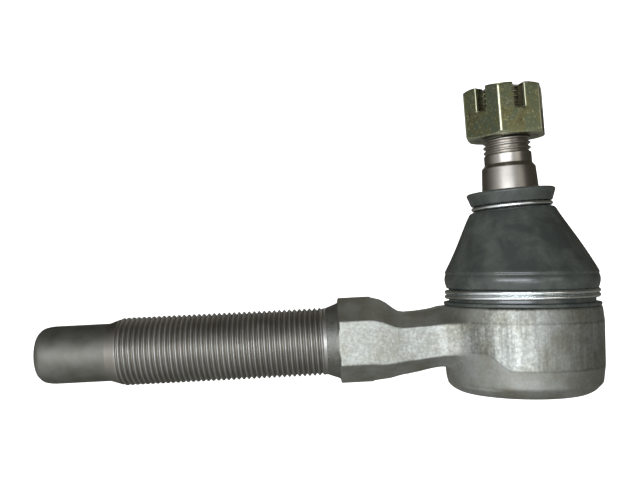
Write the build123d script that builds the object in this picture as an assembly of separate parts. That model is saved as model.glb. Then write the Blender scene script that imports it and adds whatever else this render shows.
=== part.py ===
"""Tie rod end: a forged, threaded ball socket with its ball stud, seats, boot, boot rings and slotted nut.

The origin is the ball's centre. The threaded shank points along -X, and +Z is square to it. The socket
leans a little away from the shank, and the stud and what sits on it lean a little towards it at rest.
All sizes are in millimetres.
"""

from build123d import *
import math
import os

# ---- driving dimensions -----------------------------------------------------------------------------

# Leans from +Z, in degrees, positive away from the shank.
SOCKET_LEAN = 2.3
STUD_LEAN = -1.2

# Threads: share of the pitch that the groove is deep, and that the crest and the root are wide.
PITCH = 1.5
GROOVE_DEPTH_SHARE = 0.61
CREST_SHARE = 0.2

# Shank, M20 x 1.5, with a plain pilot in front of it. Stations run along X from the ball's centre.
SHANK_R = 10.0
SHANK_TURNS = 39
SHANK_THREAD_X = -118.0
SHANK_RELIEF_R = 9.8
PILOT_R = 8.5
PILOT_FACE_R = 5.6
PILOT_END_X = -143.5
PILOT_NOSE = 2.0
PILOT_NOSE_R = 7.8
PILOT_EASE = 5.0
PILOT_ROOT_X = -122.5

# Hexagonal collar for a wrench, 22 mm across its flats, two of them upright.
HEX_FLAT_R = 11.0
HEX_FACE_X = -54.5
HEX_END_X = -44.8
FLARE_START_X = -58.3
FLARE_R = 11.2

# Socket housing, turned about Z.
HOUSING_R = 23.4
BAND_Z = (-9.1, 3.7)
RIM_R = 22.9
RIM_Z = 7.9
RIM_EDGE = 0.4
FOOT_R = 22.8
FOOT_Z = -14.0
LIP_R = 20.8
LIP_Z = -16.2
BOTTOM_R = 19.0
BOTTOM_Z = -17.2
SPIGOT_R = 19.5
SPIGOT_Z = 12.5
MOUTH_Z = 9.4
MOUTH_R = 10.6
MOUTH_TOP_R = 11.9
SEAT_BORE_R = 14.2
PLATE_BORE_R = 16.4
CRIMP_HOLE_R = 14.0

# Ball stud, M14 x 1.5 with a 1:8 taper.
BALL_R = 12.0
BALL_FLAT_Z = -10.8
NECK_R = 6.2
NECK_END_Z = 14.0
SHOULDER_Z = 27.0
TAPER_Z = (34.3, 48.9)
TAPER_SMALL_R = 7.9
TAPER_PER_MM = 1 / 16
STUD_R = 7.0
STUD_BAND_Z = 50.0
STUD_THREAD_Z = 53.0
STUD_TURNS = 12
STUD_TOP_Z = 72.8
STUD_CHAMFER = 0.9
PIN_HOLE_R = 1.6
PIN_HOLE_Z = 68.8

# Seats round the ball, and what preloads and closes them.
BALL_CLEARANCE = 0.04
SEAT_CLEARANCE = 0.05
UPPER_SEAT_Z = (-1.0, 7.0)
LOWER_SEAT_Z = (-12.4, -1.6)
LOWER_SEAT_HOLE_R = 4.8
LOWER_SEAT_CHAMFER = 0.8
SPRING_R = (5.2, 12.4)
SPRING_THICK = 0.8
PLATE_Z = (-15.7, -14.1)
PLATE_DISH_R = 7.0
PLATE_DISH_DEPTH = 0.6

# Rubber boot, with a two-turn wire ring at its foot and a split wire ring under its lip.
BOOT_CLEARANCE = 0.1
BOOT_FLANGE_R = 22.5
BOOT_FLANGE_Z = (8.0, 9.0)
BOOT_SEAT_R = 21.2
BOOT_SEAT_TOP_Z = 12.7
BOOT_BULGE = (22.6, 15.0)
BOOT_SHOULDER = (22.3, 18.0)
BOOT_CONE_TOP = (12.5, 36.1)
BOOT_GROOVE_R = 10.7
BOOT_GROOVE_Z = (36.5, 38.1)
BOOT_LIP_R = (12.0, 13.2)
BOOT_TOP_Z = 42.0
BOOT_BORE_R = 9.0
BOOT_WALL = 2.0
FOOT_RING_WIRE_R = 0.65
FOOT_RING_TURNS = 2
LIP_RING_WIRE_R = 0.6
RING_EASE = 0.06
RING_OPEN_DEG = 352

# Slotted nut, M14 x 1.5, 22 mm across its flats.
NUT_FLAT_R = 11.0
NUT_Z = (57.8, 72.5)
NUT_BORE_R = 7.06
NUT_SLOT_WIDTH = 3.3
NUT_SLOT_DEPTH = 7.2
NUT_FACE_R = 11.4
NUT_CHAMFER_DEG = 30
NUT_TURN = -19.0


# ---- shared shapes ----------------------------------------------------------------------------------


def turned(points):
    """A solid turned about Z, from its half section's corners as (radius, height)."""
    return revolve(make_face(Polyline(*[(r, 0, z) for r, z in points], close=True)), Axis.Z, 360)


def turned_about_x(points):
    """A solid turned about X, from its half section's corners as (radius, station)."""
    return revolve(make_face(Polyline(*[(x, 0, r) for r, x in points], close=True)), Axis.X, 360)


def on_socket(shape):
    """Swings a shape drawn about Z onto the socket's axis."""
    return Rot(0, SOCKET_LEAN, 0) * shape


def on_stud(shape):
    """Swings a shape drawn about Z onto the stud's axis at rest."""
    return Rot(0, STUD_LEAN, 0) * shape


def hexagon_corners(flat_r):
    """Corners of a hexagon with two flats square to the first axis."""
    corner_r = flat_r / math.cos(math.radians(30))
    angles = [math.radians(30 + 60 * corner) for corner in range(6)]
    return [(corner_r * math.cos(angle), corner_r * math.sin(angle)) for angle in angles]


def thread_outline(start, turns, major_r):
    """Half section of grooves one pitch apart, from the first crest to the last."""
    crest = CREST_SHARE * PITCH
    root_r = major_r - GROOVE_DEPTH_SHARE * PITCH
    outline = []
    for turn in range(turns):
        at = start + turn * PITCH
        outline += [(major_r, at), (major_r, at + crest)]
        if turn < turns - 1:
            root = at + crest + (PITCH - 2 * crest) / 2
            outline += [(root_r, root), (root_r, root + crest)]
    return outline


def cone_between(lower, upper):
    """A cone from a circle about the socket's axis to one about the stud's axis."""
    foot = on_socket(Pos(0, 0, lower[1]) * Circle(lower[0]))
    head = on_stud(Pos(0, 0, upper[1]) * Circle(upper[0]))
    return loft([foot, head], ruled=True)


# ---- forging ----------------------------------------------------------------------------------------

# Neck sections: station X, half width, top Z, bottom Z, side flat's top and bottom Z, top flat's half width.
NECK_SECTIONS = [
    (-46.0, 10.9, 12.3, -12.3, 6.3, -6.3, 0.6),
    (-43.6, 10.9, 12.3, -12.2, 6.2, -6.3, 0.6),
    (-40.5, 10.8, 11.0, -11.8, 5.5, -6.3, 1.3),
    (-37.4, 10.6, 8.4, -11.1, 4.6, -6.1, 2.4),
    (-34.8, 10.4, 7.5, -10.5, 4.1, -5.9, 3.2),
    (-28.0, 10.3, 7.8, -9.2, 4.0, -5.3, 3.6),
    (-24.2, 10.8, 8.7, -8.8, 4.0, -5.2, 4.4),
    (-20.5, 12.8, 8.5, -9.6, 3.9, -6.4, 7.4),
    (-15.0, 17.4, 8.3, -12.0, 3.7, -9.0, 13.0),
]


def shank():
    """Pilot, lead-in cone, thread and the relief behind it."""
    return turned_about_x([
        (0, PILOT_END_X),
        (PILOT_FACE_R, PILOT_END_X),
        (PILOT_NOSE_R, PILOT_END_X + PILOT_NOSE),
        (PILOT_R, PILOT_END_X + PILOT_EASE),
        (PILOT_R, PILOT_ROOT_X),
        *thread_outline(SHANK_THREAD_X, SHANK_TURNS, SHANK_R),
        (SHANK_RELIEF_R, SHANK_THREAD_X + (SHANK_TURNS - 1 + 2 * CREST_SHARE) * PITCH),
        (SHANK_RELIEF_R, HEX_FACE_X + 1),
        (0, HEX_FACE_X + 1),
    ])


def collar():
    """Hexagonal collar, with a turned flare running up to its front corners."""
    corners = [(FLARE_START_X, y, z) for y, z in hexagon_corners(HEX_FLAT_R)]
    prism = extrude(make_face(Polyline(*corners, close=True)), HEX_END_X - FLARE_START_X, dir=(1, 0, 0))
    blank = turned_about_x([
        (0, FLARE_START_X),
        (SHANK_RELIEF_R, FLARE_START_X),
        (FLARE_R, HEX_FACE_X),
        (2 * HEX_FLAT_R, HEX_FACE_X),
        (2 * HEX_FLAT_R, HEX_END_X),
        (0, HEX_END_X),
    ])
    return prism & blank


def neck_section(x, half_width, top, bottom, flat_top, flat_bottom, cap):
    """One eight-sided section of the neck, in the plane at x."""
    half = [(cap, top), (half_width, flat_top), (half_width, flat_bottom), (cap, bottom)]
    corners = half + [(-y, z) for y, z in reversed(half)]
    return make_face(Polyline(*[(x, y, z) for y, z in corners], close=True))


def neck():
    """Tapers from the collar's hexagon to a slim waist, then spreads into the housing."""
    sections = [neck_section(*row) for row in NECK_SECTIONS]
    spans = [loft([near, far], ruled=True) for near, far in zip(sections, sections[1:])]
    body = spans[0]
    for span in spans[1:]:
        body = body + span
    return body


def housing_outside():
    """The socket's outside: crimped foot, barrelled wall, rim and the spigot that the boot fits on."""
    return turned([
        (0, BOTTOM_Z),
        (BOTTOM_R, BOTTOM_Z),
        (LIP_R, LIP_Z),
        (FOOT_R, FOOT_Z),
        (HOUSING_R, BAND_Z[0]),
        (HOUSING_R, BAND_Z[1]),
        (RIM_R, RIM_Z - RIM_EDGE),
        (RIM_R - RIM_EDGE, RIM_Z),
        (SPIGOT_R, RIM_Z),
        (SPIGOT_R, SPIGOT_Z - RIM_EDGE),
        (SPIGOT_R - RIM_EDGE, SPIGOT_Z),
        (0, SPIGOT_Z),
    ])


def socket():
    """The hollow inside the housing: crimp opening, plate bore, seat bore with its domed end, and mouth."""
    bore = turned([
        (0, BOTTOM_Z - 1),
        (CRIMP_HOLE_R, BOTTOM_Z - 1),
        (CRIMP_HOLE_R, PLATE_Z[0]),
        (PLATE_BORE_R, PLATE_Z[0]),
        (PLATE_BORE_R, PLATE_Z[1]),
        (SEAT_BORE_R, PLATE_Z[1]),
        (SEAT_BORE_R, 0),
        (0, 0),
    ])
    dome = Sphere(SEAT_BORE_R) & Pos(0, 0, MOUTH_Z / 2) * Cylinder(2 * SEAT_BORE_R, MOUTH_Z)
    slope = (MOUTH_TOP_R - MOUTH_R) / (SPIGOT_Z - MOUTH_Z)
    mouth = turned([
        (0, MOUTH_Z - 0.5),
        (MOUTH_R - 0.5 * slope, MOUTH_Z - 0.5),
        (MOUTH_TOP_R + slope, SPIGOT_Z + 1),
        (0, SPIGOT_Z + 1),
    ])
    return bore + dome + mouth


def housing_forging():
    """Shank, collar, neck and socket housing: one forging, machined where it works."""
    return shank() + collar() + neck() + on_socket(housing_outside()) - on_socket(socket())


# ---- inside the socket ------------------------------------------------------------------------------


def ball_cavity():
    return Sphere(BALL_R + BALL_CLEARANCE)


def upper_ball_seat():
    """Hard polymer ring between the ball's upper half and the socket's dome."""
    low, high = UPPER_SEAT_Z
    blank = Pos(0, 0, (low + high) / 2) * Cylinder(SEAT_BORE_R - SEAT_CLEARANCE, high - low)
    dome = Sphere(SEAT_BORE_R - SEAT_CLEARANCE)
    skirt = Pos(0, 0, low / 2) * Cylinder(SEAT_BORE_R - SEAT_CLEARANCE, -low)
    return on_socket((blank & (dome + skirt)) - ball_cavity())


def lower_ball_seat():
    """Cup under the ball, pressed up by the disc spring."""
    low, high = LOWER_SEAT_Z
    outer_r = SEAT_BORE_R - SEAT_CLEARANCE
    blank = turned([
        (LOWER_SEAT_HOLE_R, low),
        (outer_r - LOWER_SEAT_CHAMFER, low),
        (outer_r, low + LOWER_SEAT_CHAMFER),
        (outer_r, high),
        (LOWER_SEAT_HOLE_R, high),
    ])
    return on_socket(blank - ball_cavity())


def preload_spring():
    """Coned disc spring between the end plate and the lower seat."""
    inner_r, outer_r = SPRING_R
    seat_z = LOWER_SEAT_Z[0]
    plate_z = PLATE_Z[1]
    return on_socket(turned([
        (inner_r, seat_z - SPRING_THICK),
        (outer_r, plate_z),
        (outer_r, plate_z + SPRING_THICK),
        (inner_r, seat_z),
    ]))


def end_plate():
    """Pressed steel plate, dished in its middle, that the crimped foot holds in."""
    low, high = PLATE_Z
    return on_socket(turned([
        (0, low + PLATE_DISH_DEPTH),
        (PLATE_DISH_R, low + PLATE_DISH_DEPTH),
        (PLATE_DISH_R + PLATE_DISH_DEPTH, low),
        (PLATE_BORE_R, low),
        (PLATE_BORE_R, high),
        (0, high),
    ]))


# ---- stud and nut -----------------------------------------------------------------------------------


def ball_stud():
    """Flat-bottomed ball, waisted neck, 1:8 taper and threaded end with a split pin hole."""
    taper_large_r = TAPER_SMALL_R + (TAPER_Z[1] - TAPER_Z[0]) * TAPER_PER_MM
    shaft = turned([
        (0, 0),
        (NECK_R, 0),
        (NECK_R, NECK_END_Z),
        (taper_large_r, SHOULDER_Z),
        (taper_large_r, TAPER_Z[0]),
        (TAPER_SMALL_R, TAPER_Z[1]),
        (STUD_R, STUD_BAND_Z),
        *thread_outline(STUD_THREAD_Z, STUD_TURNS, STUD_R),
        (STUD_R, STUD_TOP_Z - STUD_CHAMFER),
        (STUD_R - STUD_CHAMFER, STUD_TOP_Z),
        (0, STUD_TOP_Z),
    ])
    flat = Pos(0, 0, BALL_FLAT_Z - BALL_R) * Box(4 * BALL_R, 4 * BALL_R, 2 * BALL_R)
    pin_hole = Pos(0, 0, PIN_HOLE_Z) * Rot(0, 0, NUT_TURN) * Rot(0, 90, 0) * Cylinder(PIN_HOLE_R, 4 * STUD_R)
    return on_stud(Sphere(BALL_R) - flat + shaft - pin_hole)


def castle_nut():
    """Hexagon nut with six slots cut down through its flats, and both ends chamfered."""
    low, high = NUT_Z
    height = high - low
    corner_r = NUT_FLAT_R / math.cos(math.radians(30)) + 0.5
    drop = (corner_r - NUT_FACE_R) * math.tan(math.radians(NUT_CHAMFER_DEG))
    corners = [(x, y, low) for x, y in hexagon_corners(NUT_FLAT_R)]
    prism = extrude(make_face(Polyline(*corners, close=True)), height, dir=(0, 0, 1))
    chamfered = turned([
        (0, low),
        (NUT_FACE_R, low),
        (corner_r, low + drop),
        (corner_r, high - drop),
        (NUT_FACE_R, high),
        (0, high),
    ])
    bore = turned([
        (0, low - 1),
        (NUT_BORE_R + 2, low - 1),
        (NUT_BORE_R, low + 1),
        (NUT_BORE_R, high - 1),
        (NUT_BORE_R + 2, high + 1),
        (0, high + 1),
    ])
    nut = (prism & chamfered) - bore
    for turn in range(3):
        slot = Pos(0, 0, high) * Box(4 * NUT_FLAT_R, NUT_SLOT_WIDTH, 2 * NUT_SLOT_DEPTH)
        nut = nut - Rot(0, 0, 60 * turn) * slot
    return on_stud(Rot(0, 0, NUT_TURN) * nut)


# ---- boot and its rings -----------------------------------------------------------------------------


def dust_boot():
    """Moulded rubber boot, from its foot on the housing's spigot to its lip round the stud's taper."""
    inner_r = SPIGOT_R + BOOT_CLEARANCE
    inner_shoulder = (BOOT_SHOULDER[0] - BOOT_WALL, BOOT_SHOULDER[1] - 1)
    inner_top = (BOOT_CONE_TOP[0] - BOOT_WALL, BOOT_GROOVE_Z[0] - 2)
    foot = on_socket(turned([
        (inner_r, BOOT_FLANGE_Z[0]),
        (BOOT_FLANGE_R, BOOT_FLANGE_Z[0]),
        (BOOT_FLANGE_R, BOOT_FLANGE_Z[1]),
        (BOOT_SEAT_R, BOOT_FLANGE_Z[1]),
        (BOOT_SEAT_R, BOOT_SEAT_TOP_Z),
        BOOT_BULGE,
        BOOT_SHOULDER,
        (inner_shoulder[0], BOOT_SHOULDER[1]),
        inner_shoulder,
        (inner_r, SPIGOT_Z + 1),
    ]))
    cone = cone_between(BOOT_SHOULDER, BOOT_CONE_TOP)
    hollow = cone_between((inner_shoulder[0], BOOT_SHOULDER[1] - 0.01), inner_top)
    head = on_stud(turned([
        (0, inner_top[1] + 0.5),
        (BOOT_CONE_TOP[0] - 0.6, inner_top[1] + 0.5),
        (BOOT_CONE_TOP[0], BOOT_CONE_TOP[1]),
        (BOOT_CONE_TOP[0] - 0.5, BOOT_GROOVE_Z[0]),
        (BOOT_GROOVE_R, BOOT_GROOVE_Z[0]),
        (BOOT_GROOVE_R, BOOT_GROOVE_Z[1]),
        (BOOT_LIP_R[0], BOOT_GROOVE_Z[1]),
        (BOOT_LIP_R[1], BOOT_TOP_Z - 0.6),
        (BOOT_LIP_R[1] - 0.5, BOOT_TOP_Z),
        (0, BOOT_TOP_Z),
    ]))
    bore = on_stud(Pos(0, 0, BOOT_TOP_Z) * Cylinder(BOOT_BORE_R, 2 * (BOOT_TOP_Z - inner_top[1] + 2)))
    return foot + (cone - hollow) + head - bore


def boot_foot_ring():
    """Spring wire wound in close turns round the boot's foot."""
    centre_r = BOOT_SEAT_R + FOOT_RING_WIRE_R + RING_EASE
    pitch = 2 * FOOT_RING_WIRE_R + RING_EASE
    start_z = BOOT_FLANGE_Z[1] + FOOT_RING_WIRE_R + RING_EASE
    height = pitch * (FOOT_RING_TURNS - 1 + RING_OPEN_DEG / 360)
    path = Pos(0, 0, start_z) * Helix(pitch, height, centre_r)
    section = Plane(origin=path @ 0, z_dir=path % 0) * Circle(FOOT_RING_WIRE_R)
    return on_socket(sweep(section, path, is_frenet=True))


def boot_lip_ring():
    """Split wire ring in the groove under the boot's lip."""
    centre_r = BOOT_GROOVE_R + LIP_RING_WIRE_R + RING_EASE
    middle_z = sum(BOOT_GROOVE_Z) / 2
    section = Plane.XZ * Pos(centre_r, middle_z) * Circle(LIP_RING_WIRE_R)
    return on_stud(revolve(section, Axis.Z, RING_OPEN_DEG))


PARTS = {
    "housing_forging": housing_forging,
    "upper_ball_seat": upper_ball_seat,
    "lower_ball_seat": lower_ball_seat,
    "preload_spring": preload_spring,
    "end_plate": end_plate,
    "ball_stud": ball_stud,
    "castle_nut": castle_nut,
    "dust_boot": dust_boot,
    "boot_foot_ring": boot_foot_ring,
    "boot_lip_ring": boot_lip_ring,
}

os.makedirs("parts", exist_ok=True)
for name, build_piece in PARTS.items():
    export_step(build_piece(), f"parts/{name}.step")
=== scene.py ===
import math

import bmesh
import bpy
import numpy as np
from mathutils import Matrix, Vector


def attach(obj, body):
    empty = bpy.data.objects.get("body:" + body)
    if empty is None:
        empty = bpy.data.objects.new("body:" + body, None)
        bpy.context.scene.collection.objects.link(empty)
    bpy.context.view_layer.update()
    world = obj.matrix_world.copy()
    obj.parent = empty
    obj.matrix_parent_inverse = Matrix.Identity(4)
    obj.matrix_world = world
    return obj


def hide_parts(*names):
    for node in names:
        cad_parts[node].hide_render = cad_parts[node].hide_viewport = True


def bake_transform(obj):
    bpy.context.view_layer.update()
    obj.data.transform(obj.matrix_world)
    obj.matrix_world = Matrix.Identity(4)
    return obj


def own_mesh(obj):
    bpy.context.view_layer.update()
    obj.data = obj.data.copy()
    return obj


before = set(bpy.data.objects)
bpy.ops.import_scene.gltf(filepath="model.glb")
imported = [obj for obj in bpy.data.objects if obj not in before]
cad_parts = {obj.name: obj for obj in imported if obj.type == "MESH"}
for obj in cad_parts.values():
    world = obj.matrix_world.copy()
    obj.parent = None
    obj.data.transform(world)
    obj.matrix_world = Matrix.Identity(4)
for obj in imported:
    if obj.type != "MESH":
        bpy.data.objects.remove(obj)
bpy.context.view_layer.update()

# lengths in the dictionaries are millimetres, angles are degrees
mm = 0.001
threadPitch = 1.5
leans = {"socket": 2.3, "stud": -1.2}  # from +Z, towards +X


def addMesh(name, points, faces):
    mesh = bpy.data.meshes.new(name)
    mesh.from_pydata([tuple(p) for p in points], [], faces)
    bm = bmesh.new()
    bm.from_mesh(mesh)
    bmesh.ops.remove_doubles(bm, verts=bm.verts, dist=2e-6)
    bmesh.ops.dissolve_degenerate(bm, edges=bm.edges, dist=1e-6)
    bmesh.ops.recalc_face_normals(bm, faces=bm.faces)
    for face in bm.faces:
        face.smooth = True
    bm.to_mesh(mesh)
    bm.free()
    obj = bpy.data.objects.new(name, mesh)
    bpy.context.scene.collection.objects.link(obj)
    return obj


def applyAll(obj):
    # bakes the modifiers into the mesh
    deps = bpy.context.evaluated_depsgraph_get()
    mesh = bpy.data.meshes.new_from_object(obj.evaluated_get(deps))
    obj.modifiers.clear()
    obj.data = mesh
    return obj


def cutWith(obj, tool, operation="DIFFERENCE"):
    step = obj.modifiers.new("cut", "BOOLEAN")
    step.operation = operation
    step.solver = "EXACT"
    step.object = tool
    applyAll(obj)
    bpy.data.objects.remove(tool)
    return obj


def joinAll(name, parts):
    bm = bmesh.new()
    for part in parts:
        bm.from_mesh(part.data)
        bpy.data.objects.remove(part)
    mesh = bpy.data.meshes.new(name)
    bm.to_mesh(mesh)
    bm.free()
    obj = bpy.data.objects.new(name, mesh)
    bpy.context.scene.collection.objects.link(obj)
    return obj


def oneSkin(obj, voxel, passes, factor=0.5):
    # a single closed skin over all that overlaps, with its edges eased
    remesh = obj.modifiers.new("skin", "REMESH")
    remesh.mode = "VOXEL"
    remesh.voxel_size = voxel * mm
    remesh.use_smooth_shade = True
    ease = obj.modifiers.new("ease", "SMOOTH")
    ease.iterations = passes
    ease.factor = factor
    return applyAll(obj)


def leanBy(obj, degrees):
    obj.data.transform(Matrix.Rotation(math.radians(degrees), 4, "Y"))
    return obj


def smoothStep(low, high, value):
    t = min(1.0, max(0.0, (value - low) / (high - low)))
    return t * t * (3 - 2 * t)


def roundOff(profile, steps=5):
    # rows are (radius, station, rounding); each rounded corner becomes a short curve
    outline = []
    for i, (r, s, ease) in enumerate(profile):
        here = Vector((r, s))
        if ease == 0 or i in (0, len(profile) - 1):
            outline.append(here)
            continue
        back = Vector(profile[i - 1][:2]) - here
        on = Vector(profile[i + 1][:2]) - here
        start = here + back.normalized() * min(ease, back.length * 0.48)
        end = here + on.normalized() * min(ease, on.length * 0.48)
        for k in range(steps + 1):
            t = k / steps
            outline.append(start * (1 - t) ** 2 + here * 2 * t * (1 - t) + end * t ** 2)
    return outline


def sidesOf(rows, count):
    # faces between closed rings of points, each ring holding count of them
    faces = []
    for i in range(rows - 1):
        for k in range(count):
            n = (k + 1) % count
            faces.append((i * count + k, i * count + n, (i + 1) * count + n, (i + 1) * count + k))
    return faces


def placeRing(ring, axis):
    # one row of (radius, station) pairs, spread evenly about the axis
    points = []
    for k, (r, s) in enumerate(ring):
        turn = 2 * math.pi * k / len(ring)
        a, b = r * math.cos(turn), r * math.sin(turn)
        points.append(Vector((a, b, s) if axis == "Z" else (s, a, b)) * mm)
    return points


def spin(name, profile, around=160, axis="Z", longest=1.0):
    outline = roundOff(profile)
    fine = [outline[0]]
    for a, b in zip(outline, outline[1:]):
        parts = max(1, math.ceil((b - a).length / longest))
        fine += [a.lerp(b, (k + 1) / parts) for k in range(parts)]
    points = [p for row in fine for p in placeRing([tuple(row)] * around, axis)]
    return addMesh(name, points, sidesOf(len(fine), around))


def threadRadius(phase, thread):
    # flat crest, straight 60 degree flanks and a narrow root, over one pitch
    flank = min(1.0, max(0.0, (abs(phase - 0.5) - 0.08) / 0.34))
    return thread["crestR"] - thread["depth"] * flank


def screw(name, before, thread, after, around=96, rows=16, axis="X"):
    # before and after are outlines as for spin; between them each row climbs one pitch per turn
    start, end = thread["start"], thread["end"]
    head, tail = roundOff(before), roundOff(after)
    rings = [[tuple(p)] * around for p in head]
    count = int((end - start) / threadPitch * rows) + 1
    for i in range(-rows, count + 1):
        ring = []
        for k in range(around):
            s = min(end, max(start, start + threadPitch * (i / rows + k / around)))
            r = threadRadius((i / rows) % 1, thread)
            if thread["fadeIn"]:
                r += (thread["startR"] - r) * (1 - smoothStep(start, start + thread["fadeIn"], s))
            else:
                r = min(r, thread["startR"] + thread["slope"] * (s - start))
            if thread["fadeOut"]:
                r += (thread["endR"] - r) * smoothStep(end - thread["fadeOut"], end, s)
            else:
                r = min(r, thread["endR"] + thread["slope"] * (end - s))
            ring.append((r, s))
        rings.append(ring)
    first, last = len(head), len(rings) - 1
    rings += [[tuple(p)] * around for p in tail]
    points = [p for ring in rings for p in placeRing(ring, axis)]
    faces = []
    for i in range(len(rings) - 1):
        climbing = first <= i < last
        for k in range(around):
            a, b = i * around + k, (i + 1) * around + k
            if k < around - 1:
                faces.append((a, a + 1, b + 1, b))
            elif climbing:
                # the row ends where the row one pitch further along begins
                faces.append((a, min(i + rows, last) * around, min(i + 1 + rows, last) * around, b))
            else:
                faces.append((a, i * around, (i + 1) * around, b))
    return addMesh(name, points, faces)


def hexagonBar(name, flat, low, high, axis):
    # six-sided bar of half width flat between two stations
    cornerR = flat / math.cos(math.radians(30))
    points = []
    for s in (low, high):
        for k in range(6):
            turn = math.radians(30 + 60 * k)
            a, b = cornerR * math.cos(turn), cornerR * math.sin(turn)
            points.append(Vector((a, b, s) if axis == "Z" else (s, a, b)) * mm)
    return addMesh(name, points, [tuple(range(6)), tuple(range(6, 12))] + sidesOf(2, 6))


def windWire(name, wire):
    # round wire wound about Z, with lightly broken ends
    aroundWire, steps = 16, int(200 * wire["turns"])
    points = []
    for i in range(steps + 1):
        angle = 2 * math.pi * wire["turns"] * i / steps + math.radians(wire["from"])
        out = Vector((math.cos(angle), math.sin(angle), 0))
        middle = out * wire["coilR"] + Vector((0, 0, wire["z"] + wire["climb"] * wire["turns"] * i / steps))
        r = wire["wireR"] * (0.82 if i in (0, steps) else 1)
        for k in range(aroundWire):
            turn = 2 * math.pi * k / aroundWire
            points.append((middle + out * r * math.cos(turn) + Vector((0, 0, r * math.sin(turn)))) * mm)
    ends = [tuple(range(aroundWire)), tuple(range(steps * aroundWire, (steps + 1) * aroundWire))]
    return addMesh(name, points, sidesOf(steps + 1, aroundWire) + ends)


def markPoints(obj, name, valueAt):
    # a number on each point, for the materials to read
    layer = obj.data.attributes.new(name, "FLOAT", "POINT")
    normals = obj.data.vertex_normals
    values = [valueAt(v.co / mm, normals[i].vector) for i, v in enumerate(obj.data.vertices)]
    layer.data.foreach_set("value", np.array(values, np.float32))


# materials

def linear(code):
    # sRGB hex to the linear colour that the shader wants
    parts = [int(code[i:i + 2], 16) / 255 for i in (1, 3, 5)]
    return [p / 12.92 if p <= 0.04045 else ((p + 0.055) / 1.055) ** 2.4 for p in parts] + [1]


def per(size):
    # texture scale for a pattern of that size in mm
    return 1 / (size * mm)


def addNode(tree, kind, settings=None, links=None):
    # settings name an input socket or an option; links are {input: (node, output)}
    node = tree.nodes.new(kind)
    for key, value in (settings or {}).items():
        if key == "stops":
            ramp = node.color_ramp
            while len(ramp.elements) < len(value):
                ramp.elements.new(0.5)
            for stop, (place, colour) in zip(ramp.elements, value):
                stop.position = place
                stop.color = colour
        elif isinstance(key, int) or key in node.inputs:
            node.inputs[key].default_value = value
        else:
            setattr(node, key, value)
    for key, (source, output) in (links or {}).items():
        tree.links.new(source.outputs[output], node.inputs[key])
    return node


def startMaterial(name, settings):
    material = bpy.data.materials.new(name)
    material.use_nodes = True
    tree = material.node_tree
    tree.nodes.clear()
    shader = addNode(tree, "ShaderNodeBsdfPrincipled", settings)
    addNode(tree, "ShaderNodeOutputMaterial", links={"Surface": (shader, "BSDF")})
    place = addNode(tree, "ShaderNodeTexCoord")
    return material, tree, shader, place


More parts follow.
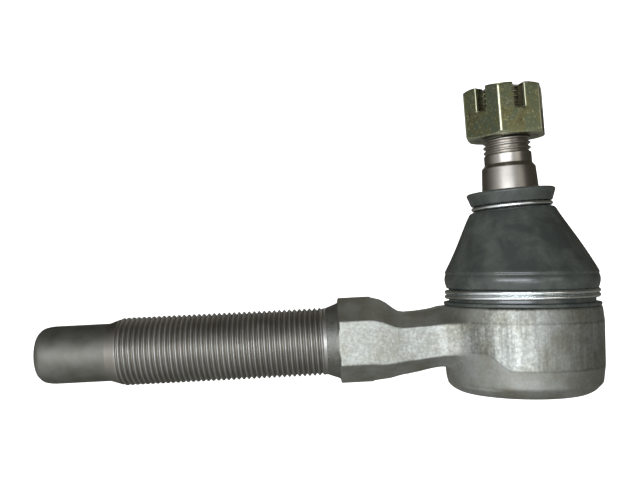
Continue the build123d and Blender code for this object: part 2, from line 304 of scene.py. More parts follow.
def blastedForging():
    # forged steel, shot blasted: grey with dark scale in the pits, paler where the flash was sheared off,
    # that pale band carrying painted light, with upright shear marks on the socket's wall
    material, tree, shader, place = startMaterial("blastedForging", {"Metallic": 1.0})
    trim = addNode(tree, "ShaderNodeAttribute", {"attribute_name": "trim"})
    line = addNode(tree, "ShaderNodeAttribute", {"attribute_name": "line"})
    wall = addNode(tree, "ShaderNodeAttribute", {"attribute_name": "wall"})
    grit = addNode(tree, "ShaderNodeTexNoise", {"Scale": per(0.9), "Detail": 6.0, "Roughness": 0.7},
                   {"Vector": (place, "Object")})
    patch = addNode(tree, "ShaderNodeTexNoise", {"Scale": per(7), "Detail": 3.0},
                    {"Vector": (place, "Object")})
    upright = addNode(tree, "ShaderNodeMapping", {"Scale": (1, 1, 0.07)}, {"Vector": (place, "Object")})
    streak = addNode(tree, "ShaderNodeTexNoise", {"Scale": per(1.3), "Detail": 4.0, "Roughness": 0.6},
                     {"Vector": (upright, "Vector")})
    pits = addNode(tree, "ShaderNodeTexVoronoi", {"Scale": per(0.8), "Randomness": 1.0},
                   {"Vector": (place, "Object")})
    scale = addNode(tree, "ShaderNodeValToRGB",
                    {"stops": [(0.3, linear("#989993")), (0.7, linear("#acada7"))]},
                    {"Fac": (grit, "Fac")})
    sheared = addNode(tree, "ShaderNodeValToRGB",
                      {"stops": [(0.32, linear("#8d8f89")), (0.5, linear("#a6a8a2")),
                                 (0.7, linear("#d0d2cc"))]},
                      {"Fac": (grit, "Fac")})
    scratch = addNode(tree, "ShaderNodeValToRGB",
                      {"stops": [(0.4, linear("#a9aba8")), (0.6, linear("#ffffff"))]},
                      {"Fac": (streak, "Fac")})
    amount = addNode(tree, "ShaderNodeMath", {"operation": "MULTIPLY", 1: 0.6}, {0: (wall, "Fac")})
    streaked = addNode(tree, "ShaderNodeMix", {"data_type": "RGBA", "blend_type": "MULTIPLY"},
                       {0: (amount, 0), 6: (sheared, "Color"), 7: (scratch, "Color")})
    # the pale band's mask carries painted light, brightest on the socket wall's left
    base = addNode(tree, "ShaderNodeMix", {"data_type": "RGBA"},
                   {0: (trim, "Fac"), 6: (scale, "Color"), 7: (streaked, 2)})
    blotch = addNode(tree, "ShaderNodeValToRGB",
                     {"stops": [(0.35, linear("#dddad1")), (0.65, linear("#ffffff"))]},
                     {"Fac": (patch, "Fac")})
    toned = addNode(tree, "ShaderNodeMix", {"data_type": "RGBA", "blend_type": "MULTIPLY", "Factor": 1.0},
                    {6: (base, 2), 7: (blotch, "Color")})
    # dark parting line, and painted shade darkening the collar's flare
    lined = addNode(tree, "ShaderNodeMix", {"data_type": "RGBA", 7: linear("#4c4a45")},
                    {0: (line, "Fac"), 6: (toned, 2)})
    tree.links.new(lined.outputs[2], shader.inputs["Base Color"])
    dull = addNode(tree, "ShaderNodeMapRange", {"To Min": 0.56, "To Max": 0.43}, {"Value": (trim, "Fac")})
    rough = addNode(tree, "ShaderNodeMath", {"operation": "MULTIPLY_ADD", 1: 0.16},
                    {0: (grit, "Fac"), 2: (dull, 0)})
    tree.links.new(rough.outputs[0], shader.inputs["Roughness"])
    relief = addNode(tree, "ShaderNodeBump", {"Strength": 0.4, "Distance": 0.06 * mm},
                     {"Height": (grit, "Fac")})
    dents = addNode(tree, "ShaderNodeBump", {"Strength": 0.25, "Distance": 0.05 * mm},
                    {"Height": (pits, "Distance"), "Normal": (relief, "Normal")})
    scored = addNode(tree, "ShaderNodeMath", {"operation": "MULTIPLY"},
                     {0: (streak, "Fac"), 1: (wall, "Fac")})
    scores = addNode(tree, "ShaderNodeBump", {"Strength": 0.35, "Distance": 0.06 * mm},
                     {"Height": (scored, 0), "Normal": (dents, "Normal")})
    tree.links.new(scores.outputs["Normal"], shader.inputs["Normal"])
    return material


def rolledThread():
    # turned shank with rolled thread, oiled: dark grey, darker and browner down in the roots
    material, tree, shader, place = startMaterial("rolledThread", {"Metallic": 1.0})
    root = addNode(tree, "ShaderNodeAttribute", {"attribute_name": "root"})
    cloud = addNode(tree, "ShaderNodeTexNoise", {"Scale": per(5), "Detail": 5.0},
                    {"Vector": (place, "Object")})
    fine = addNode(tree, "ShaderNodeTexNoise", {"Scale": per(0.5), "Detail": 4.0},
                   {"Vector": (place, "Object")})
    plain = addNode(tree, "ShaderNodeAttribute", {"attribute_name": "plain"})
    crest = addNode(tree, "ShaderNodeValToRGB",
                    {"stops": [(0.3, linear("#9b9a94")), (0.7, linear("#b4b3ad"))]}, {"Fac": (cloud, "Fac")})
    threads = addNode(tree, "ShaderNodeMix", {"data_type": "RGBA", 7: linear("#86827a")},
                      {0: (root, "Fac"), 6: (crest, "Color")})
    skin = addNode(tree, "ShaderNodeValToRGB",
                   {"stops": [(0.35, linear("#6c6b63")), (0.65, linear("#7b7a73"))]}, {"Fac": (cloud, "Fac")})
    colour = addNode(tree, "ShaderNodeMix", {"data_type": "RGBA"},
                     {0: (plain, "Fac"), 6: (threads, 2), 7: (skin, "Color")})
    tree.links.new(colour.outputs[2], shader.inputs["Base Color"])
    thread = addNode(tree, "ShaderNodeMapRange", {"To Min": 0.42, "To Max": 0.54}, {"Value": (cloud, "Fac")})
    rough = addNode(tree, "ShaderNodeMath", {"operation": "MULTIPLY_ADD", 1: 0.14},
                    {0: (plain, "Fac"), 2: (thread, 0)})
    tree.links.new(rough.outputs[0], shader.inputs["Roughness"])
    relief = addNode(tree, "ShaderNodeBump", {"Strength": 0.3, "Distance": 0.04 * mm},
                     {"Height": (fine, "Fac")})
    tree.links.new(relief.outputs["Normal"], shader.inputs["Normal"])
    return material


def groundSteel():
    # turned and ground steel: warm grey, fine tool marks that run round the stud
    material, tree, shader, place = startMaterial("groundSteel", {"Metallic": 1.0})
    flatten = addNode(tree, "ShaderNodeMapping", {"Scale": (0.02, 0.02, 1)}, {"Vector": (place, "Object")})
    # real tool marks are 0.1 mm apart; drawn at 0.35 mm so that they show
    marks = addNode(tree, "ShaderNodeTexNoise", {"Scale": per(0.35), "Detail": 3.0},
                    {"Vector": (flatten, "Vector")})
    cloud = addNode(tree, "ShaderNodeTexNoise", {"Scale": per(6), "Detail": 4.0},
                    {"Vector": (place, "Object")})
    colour = addNode(tree, "ShaderNodeValToRGB",
                     {"stops": [(0.3, linear("#a39d95")), (0.7, linear("#bcb7af"))]}, {"Fac": (cloud, "Fac")})
    tree.links.new(colour.outputs["Color"], shader.inputs["Base Color"])
    rough = addNode(tree, "ShaderNodeMapRange", {"To Min": 0.24, "To Max": 0.36}, {"Value": (marks, "Fac")})
    tree.links.new(rough.outputs[0], shader.inputs["Roughness"])
    relief = addNode(tree, "ShaderNodeBump", {"Strength": 0.25, "Distance": 0.02 * mm},
                     {"Height": (marks, "Fac")})
    tree.links.new(relief.outputs["Normal"], shader.inputs["Normal"])
    return material


def yellowZinc():
    # zinc plate with yellow passivation: olive to teal tints in clouds, cream where edges catch the light
    material, tree, shader, place = startMaterial("yellowZinc", {"Metallic": 1.0})
    edge = addNode(tree, "ShaderNodeAttribute", {"attribute_name": "edge"})
    cloud = addNode(tree, "ShaderNodeTexNoise",
                    {"Scale": per(3), "Detail": 8.0, "Roughness": 0.75, "Distortion": 0.4},
                    {"Vector": (place, "Object")})
    speck = addNode(tree, "ShaderNodeTexNoise", {"Scale": per(0.6), "Detail": 5.0, "Roughness": 0.6},
                    {"Vector": (place, "Object")})
    tint = addNode(tree, "ShaderNodeValToRGB",
                   {"stops": [(0.32, linear("#504e3a")), (0.46, linear("#7c7b59")), (0.55, linear("#626d5a")),
                              (0.68, linear("#8d8a6a"))]}, {"Fac": (cloud, "Fac")})
    worn = addNode(tree, "ShaderNodeMapRange", {"From Min": 0.56, "From Max": 0.7, "To Max": 0.6},
                   {"Value": (speck, "Fac")})
    flecked = addNode(tree, "ShaderNodeMix", {"data_type": "RGBA", 7: linear("#c4c29a")},
                      {0: (worn, 0), 6: (tint, "Color")})
    # painted highlight: cream on the corners, chamfers and slot mouths
    colour = addNode(tree, "ShaderNodeMix", {"data_type": "RGBA", 7: linear("#eef0cc")},
                     {0: (edge, "Fac"), 6: (flecked, 2)})
    tree.links.new(colour.outputs[2], shader.inputs["Base Color"])
    rough = addNode(tree, "ShaderNodeMapRange", {"To Min": 0.22, "To Max": 0.42}, {"Value": (speck, "Fac")})
    tree.links.new(rough.outputs[0], shader.inputs["Roughness"])
    relief = addNode(tree, "ShaderNodeBump", {"Strength": 0.4, "Distance": 0.06 * mm},
                     {"Height": (speck, "Fac")})
    tree.links.new(relief.outputs["Normal"], shader.inputs["Normal"])
    return material


def mouldedRubber():
    # nitrile rubber from a polished mould: black, soft sheen, dusty smears from handling
    material, tree, shader, place = startMaterial("mouldedRubber", {"IOR": 1.52})
    smear = addNode(tree, "ShaderNodeTexNoise",
                    {"Scale": per(8), "Detail": 6.0, "Roughness": 0.65, "Distortion": 0.4},
                    {"Vector": (place, "Object")})
    grain = addNode(tree, "ShaderNodeTexNoise", {"Scale": per(0.6), "Detail": 3.0},
                    {"Vector": (place, "Object")})
    colour = addNode(tree, "ShaderNodeValToRGB",
                     {"stops": [(0.4, linear("#3a3e3b")), (0.62, linear("#4d514b"))]}, {"Fac": (smear, "Fac")})
    tree.links.new(colour.outputs["Color"], shader.inputs["Base Color"])
    rough = addNode(tree, "ShaderNodeMapRange", {"To Min": 0.18, "To Max": 0.34}, {"Value": (smear, "Fac")})
    tree.links.new(rough.outputs[0], shader.inputs["Roughness"])
    relief = addNode(tree, "ShaderNodeBump", {"Strength": 0.2, "Distance": 0.05 * mm},
                     {"Height": (grain, "Fac")})
    tree.links.new(relief.outputs["Normal"], shader.inputs["Normal"])
    return material


def brightWire():
    # drawn spring wire, bright zinc plated: near mirror, faint draw marks
    material, tree, shader, place = startMaterial("brightWire", {"Metallic": 1.0})
    cloud = addNode(tree, "ShaderNodeTexNoise", {"Scale": per(1.5), "Detail": 3.0},
                    {"Vector": (place, "Object")})
    colour = addNode(tree, "ShaderNodeValToRGB",
                     {"stops": [(0.3, linear("#e6ebea")), (0.7, linear("#f6f9f8"))]}, {"Fac": (cloud, "Fac")})
    tree.links.new(colour.outputs["Color"], shader.inputs["Base Color"])
    rough = addNode(tree, "ShaderNodeMapRange", {"To Min": 0.2, "To Max": 0.3}, {"Value": (cloud, "Fac")})
    tree.links.new(rough.outputs[0], shader.inputs["Roughness"])
    return material


def plainMaterial(name, low, high, size, roughness, metallic):
    # a surface of two close tones in patches of that size, with its grain in relief
    material, tree, shader, place = startMaterial(name, {"Metallic": metallic, "Roughness": roughness})
    cloud = addNode(tree, "ShaderNodeTexNoise", {"Scale": per(size), "Detail": 5.0},
                    {"Vector": (place, "Object")})
    colour = addNode(tree, "ShaderNodeValToRGB", {"stops": [(0.35, linear(low)), (0.65, linear(high))]},
                     {"Fac": (cloud, "Fac")})
    tree.links.new(colour.outputs["Color"], shader.inputs["Base Color"])
    relief = addNode(tree, "ShaderNodeBump", {"Strength": 0.3, "Distance": 0.05 * mm},
                     {"Height": (cloud, "Fac")})
    tree.links.new(relief.outputs["Normal"], shader.inputs["Normal"])
    return material


def finishPiece(obj, material, slot, body, *nodes):
    obj.data.materials.clear()
    obj.data.materials.append(material)
    if nodes:
        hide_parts(*nodes)
    if body:
        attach(obj, body)
    return obj


# threaded shank: pilot, lead-in cone, thread and relief
shank = {
    "nose": [(0, -143.5, 0), (6.6, -143.5, 0.6), (8.0, -142.0, 0.8), (8.5, -139.6, 1.2), (8.5, -122.5, 0.4),
             (9.0, -121.0, 0)],
    "relief": [(9.8, -58.6, 0), (9.8, -53, 0)],
    "thread": {"start": -121.0, "end": -58.6, "crestR": 10.0, "depth": 0.66, "startR": 9.0, "slope": 0.333,
               "fadeIn": 0, "fadeOut": 1.4, "endR": 9.8},
}


def makeShank():
    obj = screw("threadedShank", shank["nose"], shank["thread"], shank["relief"])
    start = shank["thread"]["start"]
    low, high = shank["thread"]["crestR"] - shank["thread"]["depth"], shank["thread"]["crestR"]

    def rootShare(point, normal):
        return 1 - smoothStep(low, high, math.hypot(point.y, point.z))

    markPoints(obj, "root", rootShare)
    markPoints(obj, "plain", lambda point, normal: 1 - smoothStep(start - 1.6, start - 1.2, point.x))
    return finishPiece(obj, rolledThread(), "forging", "housing", "housing_forging")


# collar, neck and socket housing, one forging
forging = {
    "hexFlat": 11.0, "hexX": (-54.5, -44.8), "flareX": -58.3, "flareR": (9.8, 11.2),
    # station, half width, top, bottom, side flat's top and bottom, top flat's half width
    "neck": [
        (-46.0, 11.0, 12.3, -12.3, 6.3, -6.3, 0.6), (-44.2, 11.0, 12.3, -12.3, 6.2, -6.5, 0.6),
        (-41.8, 10.95, 11.6, -12.0, 5.6, -6.6, 0.9), (-40.1, 10.9, 10.6, -11.8, 4.8, -6.5, 1.4),
        (-38.3, 10.8, 9.1, -11.3, 4.1, -6.3, 2.0), (-36.6, 10.7, 7.9, -10.8, 3.7, -6.1, 2.6),
        (-34.8, 10.6, 7.5, -10.5, 3.7, -5.9, 3.1), (-31.3, 10.5, 7.6, -9.9, 3.8, -5.6, 3.4),
        (-28.0, 10.5, 7.9, -9.2, 3.9, -5.3, 3.6), (-26.0, 10.6, 8.2, -8.9, 4.0, -5.1, 4.0),
        (-24.2, 10.9, 8.6, -8.8, 4.1, -5.0, 4.6), (-20.5, 12.8, 8.6, -9.4, 4.2, -4.8, 7.4),
        (-15.0, 17.4, 8.4, -11.5, 4.4, -4.8, 13.0),
    ],
    "wall": [(14.0, -17.2, 0.5), (19.0, -17.2, 0.6), (20.8, -16.2, 0.5), (22.8, -14.1, 0.5), (23.4, -9.1, 0.5),
             (23.4, 3.7, 0.5), (22.9, 7.9, 0.5), (19.5, 7.9, 0), (19.5, 12.5, 0.5), (11.9, 12.5, 0.3),
             (10.6, 9.4, 0), (14.2, 0, 0), (14.2, -14.1, 0), (16.4, -14.1, 0), (16.4, -15.7, 0),
             (14.0, -15.7, 0.2), (14.0, -17.2, 0)],
    "seatR": 14.2, "wallR": 23.4, "bandZ": (-9.1, 3.7), "footZ": -14.1, "draft": 0.122,
    "bandRise": 4.6, "riseFrom": 70, "riseTo": 50, "voxel": 0.3,
}


def bandBottom(x, y):
    # the sheared band's lower edge climbs towards the neck
    away = math.degrees(math.atan2(abs(y), -x))
    climb = smoothStep(forging["riseFrom"], forging["riseTo"], away)
    return forging["bandZ"][0] + forging["bandRise"] * climb


def makeNeck():
    rows = forging["neck"]
    sections = []
    for (a, b) in zip(rows, rows[1:]):
        parts = max(2, round((b[0] - a[0]) / 0.6))
        sections += [[p + (q - p) * k / parts for p, q in zip(a, b)] for k in range(parts)]
    sections.append(list(rows[-1]))
    points = []
    for x, wide, top, bottom, flatTop, flatBottom, cap in sections:
        half = [(cap, top), (wide, flatTop), (wide, flatBottom), (cap, bottom)]
        ring = half + [(-y, z) for y, z in reversed(half)]
        points += [Vector((x, y, z)) * mm for y, z in ring]
    count = 8
    ends = [tuple(range(count)), tuple(range(len(points) - count, len(points)))]
    return addMesh("neck", points, ends + sidesOf(len(sections), count))


def makeCollar():
    hexagon = hexagonBar("collar", forging["hexFlat"], forging["flareX"], forging["hexX"][1], "X")
    face, back = forging["hexX"]
    wide = forging["hexFlat"] * 2
    blank = spin("blank", [(0, forging["flareX"], 0), (forging["flareR"][0], forging["flareX"], 0),
                           (forging["flareR"][1], face, 0), (12.4, face, 0), (12.9, face + 0.5, 0),
                           (wide, face + 0.5, 0), (wide, back, 0), (0, back, 0)], 96, "X", 40)
    return cutWith(hexagon, blank, "INTERSECT")


def makeHousing():
    obj = spin("housing", forging["wall"], 200, "Z", 0.8)
    low = forging["bandZ"][0]
    for v in obj.data.vertices:
        p = v.co / mm
        r = math.hypot(p.x, p.y)
        edge = bandBottom(p.x, p.y)
        if r > 22 and forging["footZ"] - 0.6 < p.z < edge:
            target = forging["wallR"] - forging["draft"] * (edge - p.z)
            usual = forging["wallR"] - forging["draft"] * max(0, low - p.z)
            shift = (target - usual) / r
            v.co.x += p.x * shift * mm
            v.co.y += p.y * shift * mm
    # the ball's seat is a dome above its centre
    for v in obj.data.vertices:
        p = v.co / mm
        r = math.hypot(p.x, p.y)
        if 0.01 < p.z < 9.39 and r < forging["seatR"] + 0.01:
            dome = math.sqrt(forging["seatR"] ** 2 - p.z ** 2)
            v.co.x *= dome / r
            v.co.y *= dome / r
    return leanBy(obj, leans["socket"])


def makeForging():
    obj = joinAll("forgedBody", [makeCollar(), makeNeck(), makeHousing()])
    obj = oneSkin(obj, forging["voxel"], 3)
    unlean = Matrix.Rotation(math.radians(-leans["socket"]), 3, "Y")

    # soften the corner where the neck runs into the wall
    group = obj.vertex_groups.new(name="corner")
    for v in obj.data.vertices:
        p = unlean @ (v.co / mm)
        near = 1 - smoothStep(0.6, 2.6, abs(math.hypot(p.x, p.y) - forging["wallR"] - 0.4))
        if near > 0 and p.x < -14 and -13 < p.z < 7.2:
            group.add([v.index], near * smoothStep(-14, -19, p.x), "REPLACE")
    soft = obj.modifiers.new("corner", "SMOOTH")
    soft.vertex_group = "corner"
    soft.iterations = 22
    applyAll(obj)

    rows = forging["neck"]

    def sheared(point, normal):
        # one pale sheared band round the neck's sides and the socket's wall, with painted light in it:
        # brightest on the wall's left, dimmer on the neck, darkest towards the middle and right
        p = unlean @ point
        away = math.degrees(math.atan2(abs(p.y), -p.x))
        low, high = bandBottom(p.x, p.y), forging["bandZ"][1] + 10 * smoothStep(45, 62, away)
        # painted light: the band's brightness is set by position, brightest on the wall's left and darker
        # towards the middle and right
        paintedLight = 0.78 + 0.22 * smoothStep(-25, -19, p.x) - 0.6 * smoothStep(-8, 4, p.x)
        if point.x < -21:
            xs = [row[0] for row in rows]
            high = float(np.interp(point.x, xs, [row[4] for row in rows]))
            low = float(np.interp(point.x, xs, [row[5] for row in rows]))
            p = point
        side = smoothStep(0.25, 0.45, math.hypot(normal.x, normal.y)) * (math.hypot(p.x, p.y) > 6)
        return side * paintedLight * smoothStep(-0.3, 0.3, p.z - low) * smoothStep(-0.3, 0.3, high - p.z)

    def partingAndFlareShade(point, normal):
        # a dark parting line round the wall, and painted shade over the whole of the collar's flare
        p = unlean @ point
        if point.x < forging["hexX"][0] - 0.1:
            return 0.6
        if p.x < -18 or math.hypot(p.x, p.y) < 21.5:
            return 0
        top = 1 - smoothStep(0.1, 0.4, abs(p.z - forging["bandZ"][1]))
        return 0.35 * max(top, 1 - smoothStep(0.1, 0.4, abs(p.z - bandBottom(p.x, p.y))))

    def scored(point, normal):
        # shear marks run up the socket's wall only
        p = unlean @ point
        return smoothStep(-20, -15, p.x) * smoothStep(-0.3, 0.3, p.z - bandBottom(p.x, p.y))

    markPoints(obj, "trim", sheared)
    markPoints(obj, "wall", scored)
    markPoints(obj, "line", partingAndFlareShade)
    return finishPiece(obj, blastedForging(), "forging", "housing", "housing_forging")


# end plate, pressed and dished, held under the crimped foot
plate = {"outline": [(0, -15.1, 0), (6.6, -15.1, 0.6), (7.5, -15.7, 0.5), (16.35, -15.7, 0.2),
                     (16.35, -14.1, 0.2), (0, -14.1, 0)]}


def makePlate():
    obj = leanBy(spin("endPlate", plate["outline"], 128, "Z", 0.8), leans["socket"])
    steel = plainMaterial("pressedSteel", "#6f6e69", "#9b9a95", 1.6, 0.42, 1.0)
    return finishPiece(obj, steel, "plate_steel", "housing", "end_plate")


# ball stud: ball, waist, 1:8 taper and thread with a split pin hole
stud = {
    "ballR": 12.0, "flatZ": -10.8, "neckR": 6.2,
    "shaft": [(6.2, 14, 2), (8.81, 27, 1.5), (8.81, 34.3, 0.5), (7.9, 48.9, 0.2), (7.0, 50.0, 0.15),
              (7.0, 52.3, 0)],
    "thread": {"start": 52.3, "end": 72.8, "crestR": 7.0, "depth": 0.75, "startR": 7.0, "slope": 1.0,
               "fadeIn": 1.4, "fadeOut": 0, "endR": 6.05},
    "top": [(6.05, 72.8, 0), (1.6, 72.8, 0.2), (0, 71.6, 0)],
    "pinHoleR": 1.6, "pinHoleZ": 68.8, "turn": -19.0,
}


def makeStud():
    outline = [(0, stud["flatZ"], 0)]
    low = math.asin(stud["flatZ"] / stud["ballR"])
    high = math.acos(stud["neckR"] / stud["ballR"])
    for k in range(41):
        angle = low + (high - low) * k / 40
        outline.append((stud["ballR"] * math.cos(angle), stud["ballR"] * math.sin(angle), 0))
    obj = screw("ballStud", outline + stud["shaft"], stud["thread"], stud["top"], 96, 14, "Z")
    drill = [(0, -9, 0), (stud["pinHoleR"], -9, 0), (stud["pinHoleR"], 9, 0), (0, 9, 0)]
    hole = spin("hole", drill, 32, "X", 30)
    hole.data.transform(Matrix.Rotation(math.radians(stud["turn"]), 4, "Z"))
    hole.data.transform(Matrix.Translation((0, 0, stud["pinHoleZ"] * mm)))
    cutWith(obj, hole)
    for face in obj.data.polygons:
        face.use_smooth = True
    leanBy(obj, leans["stud"])
    return finishPiece(obj, groundSteel(), "stud_steel", "stud", "ball_stud")


# slotted nut, 22 mm across flats
nut = {"flat": 11.0, "z": (57.8, 72.5), "faceR": 11.4, "chamfer": 30, "slotWide": 3.3, "slotDeep": 7.2,
       "turn": -19.0, "boreCrest": 7.1, "boreDepth": 0.86, "voxel": 0.2}


def makeNut():
    low, high = nut["z"]
    obj = hexagonBar("castleNut", nut["flat"], low, high, "Z")
    wide = nut["flat"] / math.cos(math.radians(30)) + 0.5
    drop = (wide - nut["faceR"]) * math.tan(math.radians(nut["chamfer"]))
    chamfers = [(0, low, 0), (nut["faceR"], low, 0), (wide, low + drop, 0), (wide, high - drop, 0),
                (nut["faceR"], high, 0), (0, high, 0)]
    cutWith(obj, spin("cones", chamfers, 96, "Z", 40), "INTERSECT")
    for k in range(3):
        across, deep = nut["slotWide"] / 2, high - nut["slotDeep"]
        box = [Vector((x, y, z)) * mm for x in (-20, 20) for y in (-across, across) for z in (deep, high + 3)]
        sides = [(0, 1, 3, 2), (4, 6, 7, 5), (0, 4, 5, 1), (2, 3, 7, 6), (0, 2, 6, 4), (1, 5, 7, 3)]
        slot = addMesh("slot", box, sides)
        slot.data.transform(Matrix.Rotation(math.radians(60 * k), 4, "Z"))
        cutWith(obj, slot)
    start = stud["thread"]["start"]
    bore = {"start": start + 3 * threadPitch, "end": high + 2, "crestR": nut["boreCrest"],
            "depth": nut["boreDepth"], "startR": 7.6, "slope": 1, "fadeIn": 0.01, "fadeOut": 0.01, "endR": 7.6}
    cutWith(obj, screw("tap", [(0, bore["start"], 0), (7.6, bore["start"], 0)], bore,
                       [(7.6, bore["end"], 0), (0, bore["end"], 0)], 64, 12, "Z"))
    for z, other in ((low, low + 1.4), (high, high - 1.4)):
        cone = [(0, z, 0), (nut["boreCrest"] + 1.1, z, 0), (6.0, other, 0), (0, other, 0)]
        cutWith(obj, spin("countersink", cone, 64, "Z", 40))
    oneSkin(obj, nut["voxel"], 3)
    obj.data.transform(Matrix.Rotation(math.radians(nut["turn"]), 4, "Z"))

    def edges(point, normal):
        # painted highlight near a corner of the hexagon, at the chamfers or round a slot's mouth
        angle = math.degrees(math.atan2(point.y, point.x)) - nut["turn"]
        r = math.hypot(point.x, point.y)
        if r < nut["boreCrest"] + 0.5:
            return 0.15
        fromCorner = abs(angle % 60 - 30)
        side = abs((angle + 30) % 60 - 30)
        corner = 1 - smoothStep(0.5, 2.2, fromCorner)
        wall = abs(r * math.sin(math.radians(side)) - nut["slotWide"] / 2)
        inSlot = point.z > nut["z"][1] - nut["slotDeep"] - 0.2 and r > 10.2
        mouth = (1 - smoothStep(0.1, 0.5, wall)) * inSlot
        cone = smoothStep(0.25, 0.45, abs(normal.z)) * (1 - 0.6 * smoothStep(0.93, 0.99, abs(normal.z)))
        return max(corner, 0.75 * mouth, 0.9 * cone * (r > 9.6))

    markPoints(obj, "edge", edges)
    leanBy(obj, leans["stud"])
    return finishPiece(obj, yellowZinc(), "yellow_zinc", "nut", "castle_nut")


# wire rings on the boot
footRing = {"coilR": 21.9, "wireR": 0.65, "turns": 1.98, "climb": 1.36, "z": 9.71, "from": 0}
lipRing = {"coilR": 11.36, "wireR": 0.6, "turns": 0.978, "climb": 0.0, "z": 37.3, "from": 4}

# rubber boot, drawn upright and then bent between the socket's axis and the stud's
boot = {
    "outline": [(19.6, 8.0, 0), (22.8, 8.0, 0.25), (22.85, 8.95, 0.3), (21.25, 9.05, 0.2), (21.2, 12.65, 0.25),
                (22.0, 12.95, 0.4), (22.6, 15.0, 1.2), (22.5, 16.4, 0.5), (22.2, 17.1, 0.4),
                (22.35, 17.7, 0.3), (22.1, 18.3, 0.4), (12.5, 36.1, 0.7), (11.4, 36.5, 0.3),
                (10.7, 36.6, 0.2), (10.7, 38.0, 0.2), (11.9, 38.2, 0.25), (13.1, 41.5, 0.4), (12.6, 42.0, 0.3),
                (9.7, 41.7, 0.4), (9.0, 41.1, 0.3), (9.0, 34.7, 0.4), (10.5, 34.4, 0.6), (20.2, 17.2, 1.2),
                (19.6, 13.4, 0.4), (19.6, 8.0, 0)],
    "bendZ": (15.0, 35.8), "tipZ": (33.5, 36.7), "tip": -0.8,
}


def tipLip(point):
    # the lip sits a little askew on the taper
    share = smoothStep(*boot["tipZ"], point.z / mm)
    middle = Vector((0, 0, lipRing["z"])) * mm
    return middle + Matrix.Rotation(math.radians(boot["tip"] * share), 3, "Y") @ (point - middle)


def makeBoot():
    obj = spin("dustBoot", boot["outline"], 192, "Z", 0.55)
    low, high = boot["bendZ"]
    for v in obj.data.vertices:
        share = smoothStep(low, high, v.co.z / mm)
        angle = math.radians(leans["socket"] + (leans["stud"] - leans["socket"]) * share)
        v.co = Matrix.Rotation(angle, 3, "Y") @ tipLip(v.co)
    finishPiece(obj, mouldedRubber(), "boot_rubber", None, "dust_boot")
    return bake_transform(obj)


def makeRings():
    wire = brightWire()
    finishPiece(leanBy(windWire("bootFootRing", footRing), leans["socket"]), wire, "bright_wire", "boot",
                "boot_foot_ring")
    obj = windWire("bootLipRing", lipRing)
    for v in obj.data.vertices:
        v.co = tipLip(v.co)
    finishPiece(leanBy(obj, leans["stud"]), wire, "bright_wire", "lip", "boot_lip_ring")


# coned disc spring under the lower seat, drawn in one fixed shape
discSpring = {"outline": [(5.2, -13.2, 0), (12.4, -14.1, 0.12), (12.4, -13.3, 0.12), (5.2, -12.4, 0.12),
                          (5.2, -13.2, 0)],
              "keep": 0.76}


def makeSpring():
    blued = plainMaterial("bluedSpring", "#2b2e33", "#43474d", 1.0, 0.35, 1.0)
    obj = leanBy(spin("discSpring", discSpring["outline"], 128, "Z", 0.6), leans["socket"])
    finishPiece(obj, blued, "spring_steel", "housing", "preload_spring")
    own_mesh(obj)


# seats inside the socket keep their CAD shape
def dressInside():
    acetal = plainMaterial("mouldedAcetal", "#cfcaba", "#dcd8ca", 1.2, 0.4, 0.0)
    for node in ("upper_ball_seat", "lower_ball_seat"):
        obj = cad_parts[node]
        obj.data.materials.clear()
        obj.data.materials.append(acetal)


# camera, sweep and lights
view = {"place": (-59.3, -233.5, 19.2), "pitch": 1.95, "yaw": 0.2, "roll": 2.95, "lens": 43.9}
sweep = {"floorZ": -400, "radius": 1300, "corner": 500, "roofZ": 1700}
lights = [
    # name, colour, direction from the object, distance in m, width and height in m, power in W
    ("flash", "#f0f5ff", (-0.42, -1, 0.06), 0.8, (0.72, 0.15), 4.2),
    ("bounce", "#dfe9f5", (-0.1, -1, -0.22), 0.8, (0.5, 0.06), 0.8),
    ("fill", "#f6f2e8", (0.66, -1, 0.1), 0.9, (0.4, 0.25), 0.55),
    ("back", "#ffffff", (0.2, 1, 0.8), 1.0, (0.7, 0.7), 0.7),
    ("top", "#fff6e0", (0.3, 0.4, 1), 1.0, (0.6, 0.6), 0.4),
]
room = {
    "front": (-0.5, -0.84, -0.2),
    # brightness against height (0 straight down, 1 straight up), then against how far round to the front
    "height": [(0.0, "#6e6e69"), (0.42, "#6c6c68"), (0.55, "#4c4a42"), (1.0, "#2e2b20")],
    "facing": [(0.5, "#000000"), (0.72, "#7b7c7f"), (0.9, "#d4d7da"), (1.0, "#f6f8fa")],
}


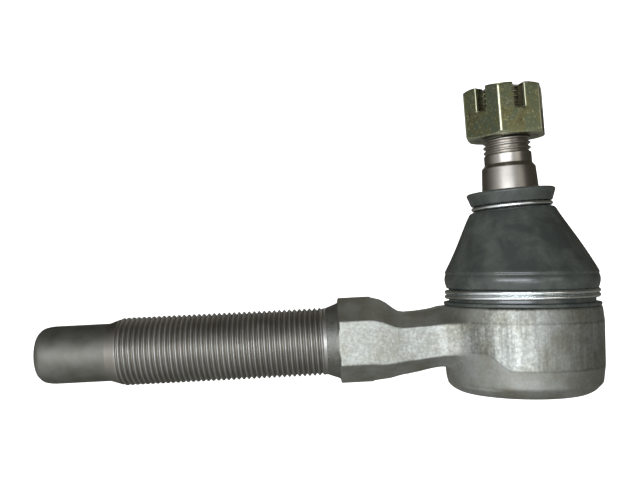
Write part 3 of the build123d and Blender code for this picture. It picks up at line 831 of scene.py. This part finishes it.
def makeStudio():
    roll = Matrix.Rotation(math.radians(view["roll"]), 4, "Y")
    camera = bpy.data.objects.new("camera", bpy.data.cameras.new("camera"))
    bpy.context.scene.collection.objects.link(camera)
    camera.data.lens = view["lens"]
    camera.data.clip_start = 0.01
    place = Matrix.Translation(Vector(view["place"]) * mm)
    yaw = Matrix.Rotation(math.radians(view["yaw"]), 4, "Z")
    camera.matrix_world = roll @ place @ yaw @ Matrix.Rotation(math.radians(90 + view["pitch"]), 4, "X")
    bpy.context.scene.camera = camera

    outline = [(0, sweep["floorZ"], 0), (sweep["radius"], sweep["floorZ"], sweep["corner"]),
               (sweep["radius"], sweep["roofZ"], sweep["corner"]), (0, sweep["roofZ"], 0)]
    floor = spin("floor", outline, 96, "Z", 200)
    # painted sweep: pale, matt, lit evenly
    paint, tree, shader, place = startMaterial("paintedSweep", {"Roughness": 0.9, "Emission Strength": 1.0})
    shader.inputs["Base Color"].default_value = linear("#f2f2f0")
    shader.inputs["Emission Color"].default_value = linear("#ffffff")
    floor.data.materials.append(paint)
    floor.visible_glossy = False
    floor.visible_diffuse = False
    floor.visible_shadow = False

    for name, colour, direction, distance, size, power in lights:
        lamp = bpy.data.lights.new(name, "AREA")
        lamp.shape = "RECTANGLE"
        lamp.size, lamp.size_y = size
        lamp.energy = power
        lamp.color = linear(colour)[:3]
        holder = bpy.data.objects.new(name, lamp)
        bpy.context.scene.collection.objects.link(holder)
        out = Vector(direction).normalized()
        holder.location = out * distance
        holder.rotation_mode = "QUATERNION"
        holder.rotation_quaternion = out.to_track_quat("Z", "Y")
        holder.visible_camera = False

    # a dim room, brightest behind the camera and over a pale table
    world = bpy.data.worlds.new("room")
    world.use_nodes = True
    tree = world.node_tree
    towards = addNode(tree, "ShaderNodeTexCoord")
    parts = addNode(tree, "ShaderNodeSeparateXYZ", links={0: (towards, "Generated")})
    height = addNode(tree, "ShaderNodeMapRange", {"From Min": -1.0}, {"Value": (parts, "Z")})
    dim = addNode(tree, "ShaderNodeValToRGB", {"stops": [(p, linear(c)) for p, c in room["height"]]},
                  {"Fac": (height, 0)})
    facing = addNode(tree, "ShaderNodeVectorMath", {"operation": "DOT_PRODUCT", 1: room["front"]},
                     {0: (towards, "Generated")})
    half = addNode(tree, "ShaderNodeMapRange", {"From Min": -1.0}, {"Value": (facing, "Value")})
    lobe = addNode(tree, "ShaderNodeValToRGB", {"stops": [(p, linear(c)) for p, c in room["facing"]]},
                   {"Fac": (half, 0)})
    both = addNode(tree, "ShaderNodeMix", {"data_type": "RGBA", "blend_type": "ADD", "Factor": 1.0},
                   {6: (dim, "Color"), 7: (lobe, "Color")})
    tree.links.new(both.outputs[2], tree.nodes["Background"].inputs["Color"])
    bpy.context.scene.world = world
    bpy.context.scene.view_settings.view_transform = "Standard"


makeStudio()
print("camera, sweep and lights ready")
makeShank()
print("shank cut")
makeForging()
print("collar, neck and housing forged")
makePlate()
print("end plate in")
makeStud()
print("stud turned")
makeNut()
print("nut slotted")
makeBoot()
makeRings()
print("boot and rings on")
makeSpring()
dressInside()
